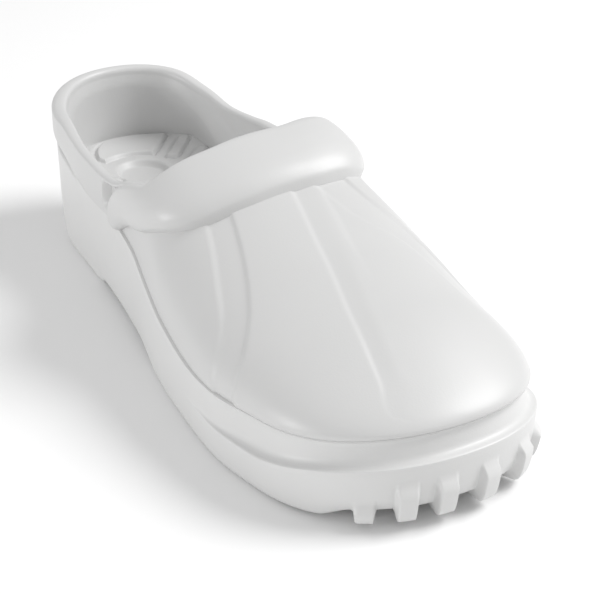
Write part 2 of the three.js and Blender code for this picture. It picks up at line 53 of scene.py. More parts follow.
# Driving sizes of the shoe
LENGTH = 290.0
BALL_WIDTH = 111.0
HEEL_STACK = 30.0
HEEL_EDGE_HEIGHT = 60.0
INSTEP_HEIGHT = 81.0
TOE_SPRING = 3.5
ARCH_LIFT = 2.5
HEEL_ROUND = 40.0
TOE_ROUND = 45.0
TOE_DOME = 48.0
CUP_WALL = 5.0
SKIRT_WALL = 2.5
UPPER_WALL = 4.0
RIM_WALL = 7.0
UPPER_INSET = 1.2
RIM_PROUD = 1.2
EDGE_ROUND = 3.0
COVE_DEPTH = 3.0
COVE_SHARE = 0.25
BAND_PROUD = 7.5
BAND_END = 6.0
LATERAL_BAND_END = 3.0
GIRTH = 1.6 * BALL_WIDTH
TREAD_DEPTH = 3.5
GROOVE_WIDTH = 5.0
GROOVE_PITCH = 13.0
GROOVE_MARGIN = 10.0
LUG_PITCH = 15.8
LUG_WIDTH = 7.6
LUG_PROUD = 3.0
LUG_RISE = 15.5
LUG_REACH = 24.0
LUG_STEP_END = 18.0
TREAD_EDGE = 3.9
LUG_SOFT = 1.1
LUG_FOOT = 0.4 * LUG_SOFT
FOOTBED = 5.0
FOOTBED_DISH = 5.0
FOOTBED_RUN = 18.0
END_POWER = 2.15

# Places along the shoe, as shares of its length from the heel
HEEL_BREAST = 0.262
BREAST_RUN = 0.014
ARCH_END = (0.45, 0.55)
HEEL_TREAD = (0.07, 0.22)
BALL_TREAD = (0.58, 0.82)
SPRING_START = 0.76
TOE_STEP = (0.925, 0.96)
TOE_LEDGE = (0.68, 0.86)
RIM_FADE = (0.04, 0.24)
COUNTER_FADE = (0.2, 0.34)
DISH_FADE = (0.3, 0.6)
QUARTER_END = 0.455
GROOVE_FADE = (0.14, 0.215)
SMOOTH_START = (0.21, 0.28)
SMOOTH_END = (0.345, 0.375)
NOTCH_START = (0.309, 0.3155)
RELIEF_START = 0.54
LATERAL_RELIEF_END = 0.96
MEDIAL_RELIEF_END = 0.9
PETAL_END = 0.86
WEDGE_END = 0.8
RIDGE_END = 0.99
RELIEF_FADE_IN = 0.02
RELIEF_FADE_OUT = 0.12

# Stations, as shares of the way round the outline from the heel
TOE_STATION = 0.44
WALK_SPAN = (0.3, 0.7)
WALK_STEPS = 4001

# Shares of the way up the sole's side
GROOVE_RISE = (0.895, 0.945)
FLUSH_RISE = 0.6
STEP_RISE = 0.4

# Shares of the way round the section from the lateral edge
LATERAL_SPLIT = 0.152
MEDIAL_SPLIT = 0.1645
NOTCH_TOP = (0.085, 0.105)
END_SPREAD = (0.072, 0.1)
BAND_START = 0.004

# Fine forms of the foam: lengths in millimetres, the sharp angle in degrees
SHARP_ANGLE = 42.0
LUG_SLOPE = 1.25
SOLE_LIP = ((0.4, 0.14), (0.9, 0.24), (1.8, 0.3), (2.4, -0.4))
HEEL_GROOVE = 2.6
CHANNEL_DEPTH = 0.8
RIDGE_DEPTH = 0.7
RIDGE_RUN = 9.0
PETAL_DEPTH = 0.75
WEDGE_SHARE = 0.6
RELIEF_SOFT = 1.1
INNER_RUN = 12.0
EDGE_CURL = 0.4
TOE_CURL = 0.9
CURL_RUN = 1.5
TOE_CURL_RUN = 2.4
END_NOTCH = 3.4
NOTCH_STOP = (0.5, 3.5)
NOTCH_UNDER_RIM = (0.8, 2.0)
NOTCH_FOOT = (0.5, 4.0)
CUP_DROP = 3.0
EDGE_TUCK = 3.0
TUCK_DROP = 0.5
SKIRT_DROP = 2.5
END_RUN = 3.0
END_RUN_BEHIND = 1.8
BAND_LIFT = 0.3
BAND_SINK = 1.0
GROOVE_BEVEL = 0.8

# Rows and columns of the meshes
SOLE_STATIONS = 384
TREAD_ROWS = 14
SIDE_ROWS = 86
VAMP_ROUNDS = 184
VAMP_STATIONS = 168
QUARTER_STATIONS = 170
QUARTER_ROWS = 18
LIP_ROWS = 16
BAND_ROUNDS = 261
BAND_ROWS = 81
FOOTBED_HEEL_STATIONS = 230
FOOTBED_TOE_STATIONS = 110
FOOTBED_ROWS = 111


def table(names, *rows):
    """Short table with named columns."""
    return {name: np.array(values, float) for name, values in zip(names.split(), zip(*rows))}


OUTLINE = table(
    "at lateral medial",
    (0.0, 0.322, 0.346),
    (0.15, 0.341, 0.332),
    (0.3, 0.361, 0.33),
    (0.45, 0.408, 0.347),
    (0.6, 0.472, 0.424),
    (0.75, 0.495, 0.467),
    (0.88, 0.443, 0.478),
    (1.0, 0.407, 0.491),
)
EDGE = table(
    "at height",
    (0.0, 1.0),
    (0.05, 0.958),
    (0.1, 0.88),
    (0.15, 0.825),
    (0.2, 0.74),
    (0.25, 0.685),
    (0.3, 0.665),
    (0.36, 0.687),
    (0.4, 0.708),
    (0.45, 0.692),
    (0.5, 0.633),
    (0.55, 0.583),
    (0.6, 0.525),
    (0.66, 0.472),
    (0.72, 0.453),
    (0.85, 0.482),
    (0.92, 0.517),
    (1.0, 0.583),
)
LEDGE = table("at share", (0.0, 0.55), (0.84, 0.56), (0.89, 0.61), (0.93, 0.67), (1.0, 0.71))
BOARD = table(
    "at height",
    (0.0, 1.0),
    (0.25, 0.98),
    (0.4, 0.87),
    (0.55, 0.66),
    (0.7, 0.54),
    (0.85, 0.57),
    (1.0, 0.68),
)
CROWN = table(
    "at height lean power",
    (0.0, 1.667, 0.0, 2.25),
    (0.2, 1.457, 0.01, 2.3),
    (0.3, 1.27, 0.02, 2.4),
    (0.4, 1.12, 0.045, 2.6),
    (0.48, 1.06, 0.075, 2.75),
    (0.6, 0.915, 0.12, 2.4),
    (0.72, 0.79, 0.11, 2.2),
    (0.85, 0.68, 0.065, 1.97),
    (1.0, 0.585, 0.02, 1.9),
)
RIM = table(
    "at lateral medial",
    (0.0, 0.021, 0.021),
    (0.05, 0.025, 0.025),
    (0.1, 0.034, 0.03),
    (0.15, 0.044, 0.039),
    (0.2, 0.051, 0.057),
    (0.25, 0.0555, 0.084),
    (0.3, 0.058, 0.115),
    (0.345, 0.067, 0.14),
    (0.4, 0.104, 0.157),
    (QUARTER_END, LATERAL_SPLIT, MEDIAL_SPLIT),
)
COLLAR = table(
    "at along",
    (LATERAL_SPLIT, QUARTER_END),
    (0.19, 0.486),
    (0.23, 0.498),
    (0.3, 0.508),
    (0.38, 0.516),
    (0.45, 0.518),
    (0.51, 0.514),
    (0.57, 0.506),
    (0.65, 0.493),
    (0.75, 0.476),
    (0.8, 0.467),
    (1 - MEDIAL_SPLIT, QUARTER_END),
)
BAND = table(
    "at tail front proud",
    (0.0, 0.388, 0.4, 0.6),
    (0.018, 0.379, 0.425, 0.62),
    (0.04, 0.38, 0.452, 0.64),
    (0.07, 0.393, 0.49, 0.67),
    (0.085, 0.402, 0.503, 0.69),
    (0.11, 0.421, 0.52, 0.72),
    (0.152, 0.46, 0.545, 0.8),
    (0.19, 0.489, 0.565, 0.88),
    (0.24, 0.501, 0.583, 0.95),
    (0.3, 0.51, 0.594, 1.0),
    (0.4, 0.519, 0.603, 1.0),
    (0.5, 0.517, 0.604, 1.0),
    (0.57, 0.507, 0.599, 1.0),
    (0.66, 0.492, 0.588, 0.97),
    (0.76, 0.474, 0.557, 0.9),
    (0.835, 0.452, 0.525, 0.8),
    (0.88, 0.405, 0.498, 0.7),
    (0.93, 0.348, 0.455, 0.58),
    (1.0, 0.315, 0.385, 0.42),
)
PAD = table(
    "at across thick",
    (0, 0.0, -0.08),
    (1, -0.02, 0.3),
    (2, -0.02, 0.58),
    (3, 0.05, 0.82),
    (4, 0.18, 0.97),
    (5, 0.4, 1.0),
    (6, 0.62, 0.95),
    (7, 0.8, 0.82),
    (8, 0.92, 0.6),
    (9, 0.985, 0.32),
    (10, 1.0, -0.08),
)
SOLE_SIDE = table(
    "at rise round cove",
    (0, 0.0, 1.15, 0.0),
    (1, 0.03, 0.62, 0.0),
    (2, 0.09, 0.35, -0.05),
    (3, 0.22, 0.12, -0.15),
    (4, 0.38, 0.0, -0.22),
    (5, 0.46, 0.0, -0.3),
    (6, 0.495, 0.0, -0.3),
    (7, 0.515, 0.0, -0.16),
    (8, 0.528, 0.0, 0.2),
    (9, 0.55, 0.0, 0.55),
    (10, 0.6, 0.0, 0.85),
    (11, 0.7, 0.0, 1.08),
    (12, 0.8, 0.0, 1.26),
    (13, 0.88, 0.0, 1.36),
    (14, 0.95, 0.03, 1.3),
    (15, 1.0, 0.16, 0.72),
)
DISH = table("at raised", (0.0, 1.0), (0.12, 0.92), (0.4, 0.5), (0.7, 0.15), (1.0, 0.0))
LUGS = table(
    "place rise",
    (-2.24, 0.5),
    (-1.36, 1.0),
    (-0.5, 1.0),
    (0.55, 1.0),
    (1.72, 1.0),
    (2.76, 0.85),
)

# Low relief of the vamp. Each line gives, for places along the shoe, how far round the section it runs
LATERAL_OUTER = table(
    "at round",
    (0.56, 0.27),
    (0.601, 0.252),
    (0.664, 0.213),
    (0.727, 0.153),
    (0.758, 0.032),
    (0.765, -0.03),
)
LATERAL_INNER = table(
    "at round",
    (0.56, 0.335),
    (0.601, 0.317),
    (0.658, 0.291),
    (0.721, 0.248),
    (0.771, 0.178),
    (0.794, 0.081),
    (0.803, -0.03),
)
MEDIAL_OUTER = table(
    "at round",
    (0.54, 0.74),
    (0.567, 0.777),
    (0.643, 0.861),
    (0.681, 0.923),
    (0.7, 1.03),
)
MEDIAL_INNER = table(
    "at round",
    (0.54, 0.63),
    (0.598, 0.674),
    (0.645, 0.724),
    (0.699, 0.799),
    (0.73, 0.883),
    (0.745, 0.95),
    (0.755, 1.03),
)
CENTRE_LATERAL = table(
    "at round",
    (0.56, 0.478),
    (0.616, 0.461),
    (0.7, 0.435),
    (0.762, 0.416),
    (0.834, 0.384),
    (0.889, 0.357),
    (0.926, 0.328),
    (0.967, 0.24),
)
CENTRE_MEDIAL = table(
    "at round",
    (0.56, 0.57),
    (0.625, 0.608),
    (0.696, 0.687),
    (0.759, 0.76),
    (0.82, 0.82),
    (0.88, 0.88),
)
WEDGE_LATERAL = table(
    "at round",
    (0.56, 0.53),
    (0.604, 0.512),
    (0.681, 0.5),
    (0.746, 0.488),
    (0.8, 0.478),
    (0.88, 0.46),
)
WEDGE_MEDIAL = table(
    "at round",
    (0.56, 0.49),
    (0.605, 0.51),
    (0.661, 0.537),
    (0.737, 0.639),
    (0.808, 0.709),
    (0.852, 0.76),
    (0.9, 0.8),
)

# Section of the collar's rounded lip, as shares of the wall's thickness
LIP = table(
    "at across high",
    (0, 0.0, 0.0),
    (1, 0.06, 0.12),
    (2, 0.2, 0.27),
    (3, 0.42, 0.38),
    (4, 0.62, 0.43),
    (5, 0.77, 0.42),
    (6, 0.89, 0.34),
    (7, 0.97, 0.19),
    (8, 1.0, 0.0),
)

# Massage relief of the footbed, in millimetres. Each bar has its middle, x and y, and its turn in degrees
HEEL_DISC = {"x": 46.0, "y": -3.0, "radius": 12.5, "deep": 2.7}
CRESCENT = {"x": 30.7, "y": 8.5, "radius": 25.7, "inner": 18.8, "lift": 0.9}
BARS = (
    (33.5, 20.5, 131),
    (49.0, 21.0, 116),
    (63.0, 20.5, 106),
    (77.0, 20.0, 98),
    (91.0, 20.5, 94),
    (105.0, 22.0, 92),
    (50.0, -24.0, -112),
    (64.0, -24.0, -102),
    (78.0, -25.0, -97),
    (92.0, -27.0, -94),
    (106.0, -29.0, -92),
)
BAR = {"long": 17.0, "wide": 6.5, "corner": 2.0, "lift": 0.7}
MOAT = {"off": 0.56, "half": 0.77, "deep": 1.1}
PAD_EDGE = (-1.2, 0.2)
DISC_EDGE = 3.0

# Straight cuts of the crescent's horns: a point, the direction cut away, and the cut's distance past it
CRESCENT_CUTS = ((30.0, -12.0, 0.64, -0.77, 3.0), (22.5, 17.5, 0.7, 0.7, 0.0))

# Dish and border of the footbed: lengths in millimetres, drops as shares of the dish
BED_CLEAR = 0.2
BED_CALM = (0.3, 2.0)
DISH_DROP = 0.6
DISH_BACK = 0.2
DISH_BACK_RUN = (8, 34)

# Colours and surface of the foam and the floor: noise scales per metre, grain height in millimetres
WHITE = (0.62, 0.62, 0.617)
# The sole's colour is the upper's same white foam made lighter: painted light standing in for the extra
# light that the sole's sides catch from the floor
PAINTED_LIGHT_PALE = (0.68, 0.68, 0.676)
FOAM_IOR = 1.48
COAT_WEIGHT = 0.25
COAT_ROUGHNESS = 0.3
MOTTLE_SCALE = 38.0
PORE_SCALE = 1400.0
SKIN_SCALE = 420.0
GRAIN_HEIGHT = 0.08
GLOSS_SPREAD = 0.05
FLOOR_COLOUR = (0.93, 0.93, 0.93, 1)

# Studio: places, sizes and reach in metres, power in watts
FLOOR_REACH = 6.0
WORLD_STRENGTH = 0.6
LIGHT_AIM = (0, 0, 0.04)
KEY = {"place": (0.45, 1.1, 1.3), "size": 0.95, "power": 23.0}
FILL = {"place": (-0.1, -1.4, 0.3), "size": 0.5, "power": 5.5}

# Camera worked out from the photo: turn and rise of the view, roll, focal length, the point that it
# looks at and its distance, in millimetres of the shoe's own frame
VIEW_TURN = 28.97
VIEW_RISE = 28.33
VIEW_ROLL = -0.19
FOCAL_PIXELS = 1414.0
FRAME_PIXELS = 596
VIEW_AIM = (185.97, -0.81, 35.0)
VIEW_DISTANCE = 529.72
SENSOR = 36.0


def column(rows, key, at):
    """Smooth monotone curve through one column of a table."""
    x, y = rows["at"], rows[key]
    run = np.diff(x)
    slope = np.diff(y) / run
    tangent = np.zeros_like(y)
    tangent[0], tangent[-1] = slope[0], slope[-1]
    before, after = slope[:-1], slope[1:]
    left, right = 2 * run[1:] + run[:-1], run[1:] + 2 * run[:-1]
    same = before * after > 0
    safe_before = np.where(same, before, 1.0)
    safe_after = np.where(same, after, 1.0)
    tangent[1:-1] = np.where(same, (left + right) / (left / safe_before + right / safe_after), 0.0)
    place = np.clip(np.asarray(at, float), x[0], x[-1])
    i = np.clip(np.searchsorted(x, place) - 1, 0, len(x) - 2)
    t = (place - x[i]) / run[i]
    start = (1 + 2 * t) * (1 - t) ** 2 * y[i] + t * (1 - t) ** 2 * run[i] * tangent[i]
    end = t * t * (3 - 2 * t) * y[i + 1] + t * t * (t - 1) * run[i] * tangent[i + 1]
    return start + end


def ramp(start, stop, x):
    t = np.clip((np.asarray(x, float) - start) / (stop - start), 0, 1)
    return t * t * (3 - 2 * t)


def fade(stretch, x):
    return ramp(stretch[0] * LENGTH, stretch[1] * LENGTH, x)


def along(s):
    """Stations run 0 at the heel, 0.5 at the toe and on to 1 back at the heel."""
    return LENGTH * (1 - np.cos(2 * np.pi * np.asarray(s, float))) / 2


def station_at(x):
    return np.arccos(np.clip(1 - 2 * np.asarray(x, float) / LENGTH, -1, 1)) / (2 * np.pi)


def end_round(distance, radius):
    t = np.clip(1 - np.asarray(distance, float) / radius, 0, 1)
    return (1 - t**END_POWER) ** (1 / END_POWER)


def outline_point(s):
    turn = np.mod(s, 1.0)
    x = along(turn)
    lateral = column(OUTLINE, "lateral", x / LENGTH) * BALL_WIDTH
    medial = column(OUTLINE, "medial", x / LENGTH) * BALL_WIDTH
    close = end_round(x, HEEL_ROUND) * end_round(LENGTH - x, TOE_ROUND)
    side = np.where(turn < 0.5, -1.0, 1.0)
    return x, (medial - lateral) / 2 + side * (medial + lateral) * close / 2


def plan(s, grow):
    """Point of the plan outline moved outwards by grow."""
    step = 0.001
    x, y = outline_point(s)
    ax, ay = outline_point(s - step)
    bx, by = outline_point(s + step)
    run = np.hypot(bx - ax, by - ay)
    return x + (by - ay) / run * grow, y - (bx - ax) / run * grow


def edge_height(x):
    return column(EDGE, "height", x / LENGTH) * HEEL_EDGE_HEIGHT


def board_height(x):
    return column(BOARD, "height", x / LENGTH) * HEEL_STACK


def toe_share(x):
    return fade(TOE_LEDGE, x)


def tread_height(x):
    arch = fade((HEEL_BREAST, HEEL_BREAST + BREAST_RUN), x) * (1 - fade(ARCH_END, x))
    sprung = np.clip((x / LENGTH - SPRING_START) / (1 - SPRING_START), 0, None)
    return ARCH_LIFT * arch + TOE_SPRING * sprung**2


def upper_inset(x):
    heel = 1 - fade(COUNTER_FADE, x)
    return UPPER_INSET * (1 - heel) - RIM_PROUD * heel + COVE_DEPTH * COVE_SHARE * toe_share(x)


def last_point(s, turn, grow):
    """Point of the upper: station, share of the way round from the lateral edge, offset outwards."""
    s, turn, grow = np.broadcast_arrays(*(np.asarray(value, float) for value in (s, turn, grow)))
    x = along(s)
    inset = grow - upper_inset(x)
    lateral_x, lateral_y = plan(s, inset)
    medial_x, medial_y = plan(1 - s, inset)
    angle = np.pi * np.clip(turn, 0, 1)
    power = 2 / column(CROWN, "power", x / LENGTH)
    reach = np.sign(np.cos(angle)) * np.abs(np.cos(angle)) ** power
    rise = np.abs(np.sin(angle)) ** power
    dome = np.clip(1 - (LENGTH - x) / TOE_DOME, 0, 1)
    edge = edge_height(x)
    crown = column(CROWN, "height", x / LENGTH) * INSTEP_HEIGHT + grow
    close = np.sqrt(1 - dome * dome)
    lean = column(CROWN, "lean", x / LENGTH) * BALL_WIDTH * close
    mix = (1 - reach) / 2
    return np.stack(
        [
            lateral_x + (medial_x - lateral_x) * mix,
            lateral_y + (medial_y - lateral_y) * mix + lean * rise**2,
            edge + (crown - edge) * close * rise,
        ],
        axis=-1,
    )


class Shell:
    """Mesh from quads between rows of points."""

    def __init__(self):
        self.points = []
        self.count = 0
        self.quads = []

    def sheet(self, points):
        """Adds a grid of points and returns their numbers."""
        points = np.asarray(points, float)
        rows, columns = points.shape[:2]
        numbers = np.arange(self.count, self.count + rows * columns).reshape(rows, columns)
        self.points.append(points.reshape(-1, 3))
        self.count += rows * columns
        return numbers

    def cover(self, numbers, flip=False):
        a, b = numbers[:-1, :-1], numbers[1:, :-1]
        c, d = numbers[1:, 1:], numbers[:-1, 1:]
        order = (a, d, c, b) if flip else (a, b, c, d)
        self.quads.append(np.stack(order, axis=-1).reshape(-1, 4))

    def wrap(self, numbers, flip=False):
        """Covers a grid whose rows are closed loops."""
        self.cover(np.concatenate([numbers, numbers[:, :1]], axis=1), flip)

    def ladder(self, loop, flip=False):
        """Closes a loop whose points mirror each other across the shoe."""
        count = len(loop)
        i = np.arange(count // 2)
        quad = np.stack([loop[i], loop[i + 1], loop[count - i - 1], loop[(count - i) % count]], axis=-1)
        self.quads.append(quad[:, ::-1] if flip else quad)

    def build(self, name, origin):
        points = (np.concatenate(self.points) + origin) * MM
        faces = [list(dict.fromkeys(quad)) for quad in np.concatenate(self.quads).tolist()]
        mesh = bpy.data.meshes.new(name)
        mesh.from_pydata(points.tolist(), [], [face for face in faces if len(face) > 2])
        piece = bpy.data.objects.new(name, mesh)
        bpy.context.scene.collection.objects.link(piece)
        weld(piece)
        return piece


def weld(piece):
    """Joins points that lie together, drops faces with no area and turns all faces outwards."""
    work = bmesh.new()
    work.from_mesh(piece.data)
    bmesh.ops.remove_doubles(work, verts=work.verts, dist=0.01 * MM)
    bmesh.ops.dissolve_degenerate(work, dist=0.005 * MM, edges=work.edges)
    bmesh.ops.recalc_face_normals(work, faces=work.faces)
    work.to_mesh(piece.data)
    work.free()
    piece.data.shade_smooth()
    piece.data.set_sharp_from_angle(angle=math.radians(SHARP_ANGLE))


def loop_stations(steps):
    """Stations all round, mirrored so that a ladder can close the loop, close-set round the toe lugs."""
    heel = np.linspace(0, SPLIT, steps // 4 + 1)
    middle = np.linspace(SPLIT, TOE_STATION, steps // 3 + 1)
    toe = np.linspace(TOE_STATION, 0.5, steps // 2 + 1)
    side = np.concatenate([heel, middle[1:], toe[1:]])
    return np.concatenate([side, 1 - side[1:-1][::-1]])


# Station where the quarters end and the vamp begins
SPLIT = float(station_at(QUARTER_END * LENGTH))


def walk_table():
    """Distance walked round the outline from the toe's tip, medial way positive, for each station."""
    s = np.linspace(WALK_SPAN[0], WALK_SPAN[1], WALK_STEPS)
    x, y = plan(s, 0.0)
    gone = np.concatenate([[0], np.cumsum(np.hypot(np.diff(x), np.diff(y)))])
    return s, gone - np.interp(0.5, s, gone)


WALK = walk_table()


def lug_mask(s):
    """1 on a toe lug and 0 between them, with soft flanks, and the height share of the nearest lug."""
    gone = np.interp(s, *WALK)
    offset = gone[:, None] - LUGS["place"][None, :] * LUG_PITCH
    nearest = np.argmin(np.abs(offset), axis=1)
    distance = np.abs(offset)[np.arange(len(s)), nearest]
    half = LUG_WIDTH / 2
    mask = 1 - ramp(half - LUG_SOFT, half + LUG_FOOT, distance)
    return mask, LUGS["rise"][nearest]


def ledge_rise(rise, x):
    """Share of the way up the side, bent so that the ledge follows its own height."""
    share = column(LEDGE, "share", x / LENGTH)
    return np.where(rise < 0.5, rise * 2 * share, 1 - (1 - rise) * 2 * (1 - share))


def tread_rows(stations, step):
    """Rows of the tread from its middle out to the rounded edge, stepped up between the toe lugs."""
    foot = tread_height(along(stations))
    rows = []
    for inset in np.linspace(LUG_REACH, TREAD_EDGE, TREAD_ROWS):
        px, py = plan(stations, -inset)
        rows.append(np.stack([px, py, foot + step * ramp(LUG_REACH, LUG_STEP_END, inset)], axis=-1))
    return rows


def side_grow(at, x):
    """Offset of the sole's side: rounded edges, ledge and cove of the toe, groove under the heel's rim."""
    rise = ledge_rise(column(SOLE_SIDE, "rise", at), x)
    round_off = EDGE_ROUND * column(SOLE_SIDE, "round", at)
    cove = COVE_DEPTH * column(SOLE_SIDE, "cove", at) * toe_share(x)
    groove = HEEL_GROOVE * (1 - fade(GROOVE_FADE, x)) * ramp(*GROOVE_RISE, rise)
    flush = smooth_side(x) * ramp(FLUSH_RISE, 1, rise) * (upper_inset(x) - round_off)
    return -round_off - cove - groove - flush


def side_rows(stations, step, mask, lug_rise):
    """Rows of the sole's side from the tread up to its edge, with the toe lugs on it."""
    x = along(stations)
    foot, edge = tread_height(x), edge_height(x)
    head = foot + LUG_RISE * lug_rise
    rows = []
    for at in np.linspace(0, SOLE_SIDE["at"][-1], SIDE_ROWS):
        rise = ledge_rise(column(SOLE_SIDE, "rise", at), x)
        z = foot + (edge - foot) * rise + step * (1 - ramp(0, STEP_RISE, rise))
        slope = np.clip((head - z) / (LUG_SLOPE * LUG_PROUD), 0, 1)
        px, py = plan(stations, side_grow(at, x) + LUG_PROUD * mask * slope)
        rows.append(np.stack([px, py, z], axis=-1))
    return rows


def cup_rows(stations):
    """Rows of the lip that closes under the upper, and of the cup inside the sole."""
    x = along(stations)
    edge = edge_height(x)
    grow = side_grow(SOLE_SIDE["at"][-1], x)
    rows = []
    for inset, height in SOLE_LIP:
        px, py = plan(stations, grow - inset)
        rows.append(np.stack([px, py, edge + height], axis=-1))
    px, py = plan(stations, -CUP_WALL)
    for height in (edge - CUP_DROP, board_height(x)):
        rows.append(np.stack([px, py, height], axis=-1))
    return rows


def sole_piece(origin):
    """Sole: thick side with the toe ledge, cove and lugs, plain grooved tread, open cup inside."""
    shell = Shell()
    stations = loop_stations(SOLE_STATIONS)
    mask, lug_rise = lug_mask(stations)
    step = TREAD_DEPTH * fade(TOE_STEP, along(stations)) * (1 - mask)
    rows = tread_rows(stations, step) + side_rows(stations, step, mask, lug_rise) + cup_rows(stations)
    numbers = shell.sheet(rows)
    shell.wrap(numbers)
    shell.ladder(numbers[0], flip=True)
    shell.ladder(numbers[-1])
    piece = shell.build("clog_sole", origin)
    cut_grooves(piece, origin)
    return piece


def cut_grooves(piece, origin):
    """Cross grooves of the tread, inside its plain border."""
    work = bmesh.new()
    for start, stop in (HEEL_TREAD, BALL_TREAD):
        for i in range(int((stop - start) * LENGTH // GROOVE_PITCH) + 1):
            x = start * LENGTH + i * GROOVE_PITCH
            left = float(plan(station_at(x), -GROOVE_MARGIN)[1])
            right = float(plan(1 - station_at(x), -GROOVE_MARGIN)[1])
            size = (GROOVE_WIDTH, right - left, 2 * TREAD_DEPTH)
            centre = np.array([x, (left + right) / 2, 0.0]) + origin
            stretched = Matrix.Diagonal((*(np.array(size) * MM), 1))
            where = Matrix.Translation(Vector(centre * MM)) @ stretched
            bmesh.ops.create_cube(work, size=1, matrix=where)
    bevel = GROOVE_BEVEL * MM
    bmesh.ops.bevel(work, geom=work.edges, offset=bevel, segments=3, profile=0.5, affect="EDGES")
    mesh = bpy.data.meshes.new("groove_cutter")
    work.to_mesh(mesh)
    work.free()
    cutter = bpy.data.objects.new("groove_cutter", mesh)
    bpy.context.scene.collection.objects.link(cutter)
    cut = piece.modifiers.new("grooves", "BOOLEAN")
    cut.object = cutter
    cut.operation = "DIFFERENCE"
    cut.solver = "EXACT"
    bpy.context.view_layer.objects.active = piece
    bpy.ops.object.modifier_apply(modifier=cut.name)
    bpy.data.objects.remove(cutter)
    piece.data.shade_smooth()
    piece.data.set_sharp_from_angle(angle=math.radians(SHARP_ANGLE))


def beside(x, turn, line):
    """Distance in millimetres from a relief line, positive to its medial side."""
    share = x / LENGTH
    step = 0.004
    turned = column(line, "round", share + step) - column(line, "round", share - step)
    slope = turned * GIRTH / (2 * step * LENGTH)
    return (turn - column(line, "round", share)) * GIRTH / np.sqrt(1 + slope**2)


def between(x, turn, low, high):
    """1 between two relief lines and 0 outside them."""
    inside_low = ramp(-RELIEF_SOFT, RELIEF_SOFT, beside(x, turn, low))
    return inside_low * ramp(-RELIEF_SOFT, RELIEF_SOFT, -beside(x, turn, high))


def stretch(x, stop):
    """1 from the instep to a share of the length, fading towards both ends."""
    share = x / LENGTH
    start = ramp(RELIEF_START, RELIEF_START + RELIEF_FADE_IN, share)
    return start * (1 - ramp(stop - RELIEF_FADE_OUT, stop, share))


def vamp_relief(x, turn):
    """Low relief of the vamp: a curved channel on each side, a ridge down the middle and soft petals."""
    lateral = between(x, turn, LATERAL_OUTER, LATERAL_INNER) * stretch(x, LATERAL_RELIEF_END)
    medial = between(x, turn, MEDIAL_INNER, MEDIAL_OUTER) * stretch(x, MEDIAL_RELIEF_END)
    off = beside(x, turn, CENTRE_LATERAL)
    ridge = ramp(-RELIEF_SOFT, RELIEF_SOFT, off) * (1 - ramp(RELIEF_SOFT, RIDGE_RUN, off))
    petal = between(x, turn, WEDGE_MEDIAL, CENTRE_MEDIAL) * stretch(x, PETAL_END)
    wedge = between(x, turn, WEDGE_LATERAL, WEDGE_MEDIAL) * stretch(x, WEDGE_END)
    return (
        -CHANNEL_DEPTH * (lateral + medial)
        - RIDGE_DEPTH * ridge * stretch(x, RIDGE_END)
        - PETAL_DEPTH * petal
        - PETAL_DEPTH * WEDGE_SHARE * wedge
    )


def wall_at(x):
    return RIM_WALL + (UPPER_WALL - RIM_WALL) * fade(RIM_FADE, x)


def inner_grow(s, turn):
    """Offset of the inner face, which thickens downwards until it meets the cup."""
    x = along(s)
    above = last_point(s, turn, 0.0)[..., 2] - edge_height(x)
    cup = CUP_WALL + SKIRT_WALL - upper_inset(x)
    return -(wall_at(x) + (cup - wall_at(x)) * (1 - ramp(0, INNER_RUN, above)))


def upper_places():
    """Grids of places on the last: the vamp from collar to toe, and the two heel quarters."""
    low = np.linspace(0, LATERAL_SPLIT, QUARTER_ROWS + 1)
    front = np.linspace(LATERAL_SPLIT, 1 - MEDIAL_SPLIT, VAMP_ROUNDS + 1)
    high = np.linspace(1 - MEDIAL_SPLIT, 1, QUARTER_ROWS + 1)
    rounds = np.concatenate([low, front[1:-1], high])
    open_edge = station_at(column(COLLAR, "along", rounds) * LENGTH)
    start = np.where((rounds > LATERAL_SPLIT) & (rounds < 1 - MEDIAL_SPLIT), open_edge, SPLIT)
    t = np.linspace(0, 1, VAMP_STATIONS + 1)
    vamp_s = start[:, None] + (0.5 - start[:, None]) * t[None, :]
    vamp_round = np.broadcast_to(rounds[:, None], vamp_s.shape)
    quarter_s = np.linspace(0, SPLIT, QUARTER_STATIONS + 1)
    share = np.linspace(0, 1, QUARTER_ROWS + 1)[:, None]
    lateral = share * column(RIM, "lateral", along(quarter_s) / LENGTH)[None, :]
    medial = 1 - share * column(RIM, "medial", along(quarter_s) / LENGTH)[None, :]
    quarter = np.broadcast_to(quarter_s[None, :], lateral.shape)
    return (vamp_s, vamp_round), (quarter, lateral), (quarter, medial)


def collar_loop(vamp, lateral, medial):
    """Places of the open edge, starting at the heel and going round by the lateral side."""
    inner = slice(QUARTER_ROWS + 1, QUARTER_ROWS + VAMP_ROUNDS)
    return [np.concatenate([lateral[i][-1], vamp[i][inner, 0], medial[i][-1][::-1][:-1]]) for i in (0, 1)]


def edge_loop(vamp, lateral, medial):
    """Places of the lower edge, starting at the heel and going round by the lateral side."""
    loops = []
    for i in (0, 1):
        medial_side = (vamp[i][-1, :-1][::-1], medial[i][0][::-1][1:-1])
        loops.append(np.concatenate([lateral[i][0], vamp[i][0, 1:], *medial_side]))
    return loops


def smooth_side(x):
    """1 along the stretch of the heel where the upper runs into the sole without a crease."""
    return fade(SMOOTH_START, x) * (1 - fade(SMOOTH_END, x))


def end_recess(x, turn):
    """Shallow recess in the lateral quarter, behind the end of the instep band."""
    ahead = x - column(BAND, "tail", turn) * LENGTH
    below_rim = (column(RIM, "lateral", x / LENGTH) - turn) * GIRTH
    lengthwise = fade(NOTCH_START, x) * (1 - ramp(*NOTCH_STOP, ahead)) * (1 - ramp(*NOTCH_TOP, turn))
    return END_NOTCH * lengthwise * ramp(*NOTCH_UNDER_RIM, below_rim) * ramp(*NOTCH_FOOT, turn * GIRTH)


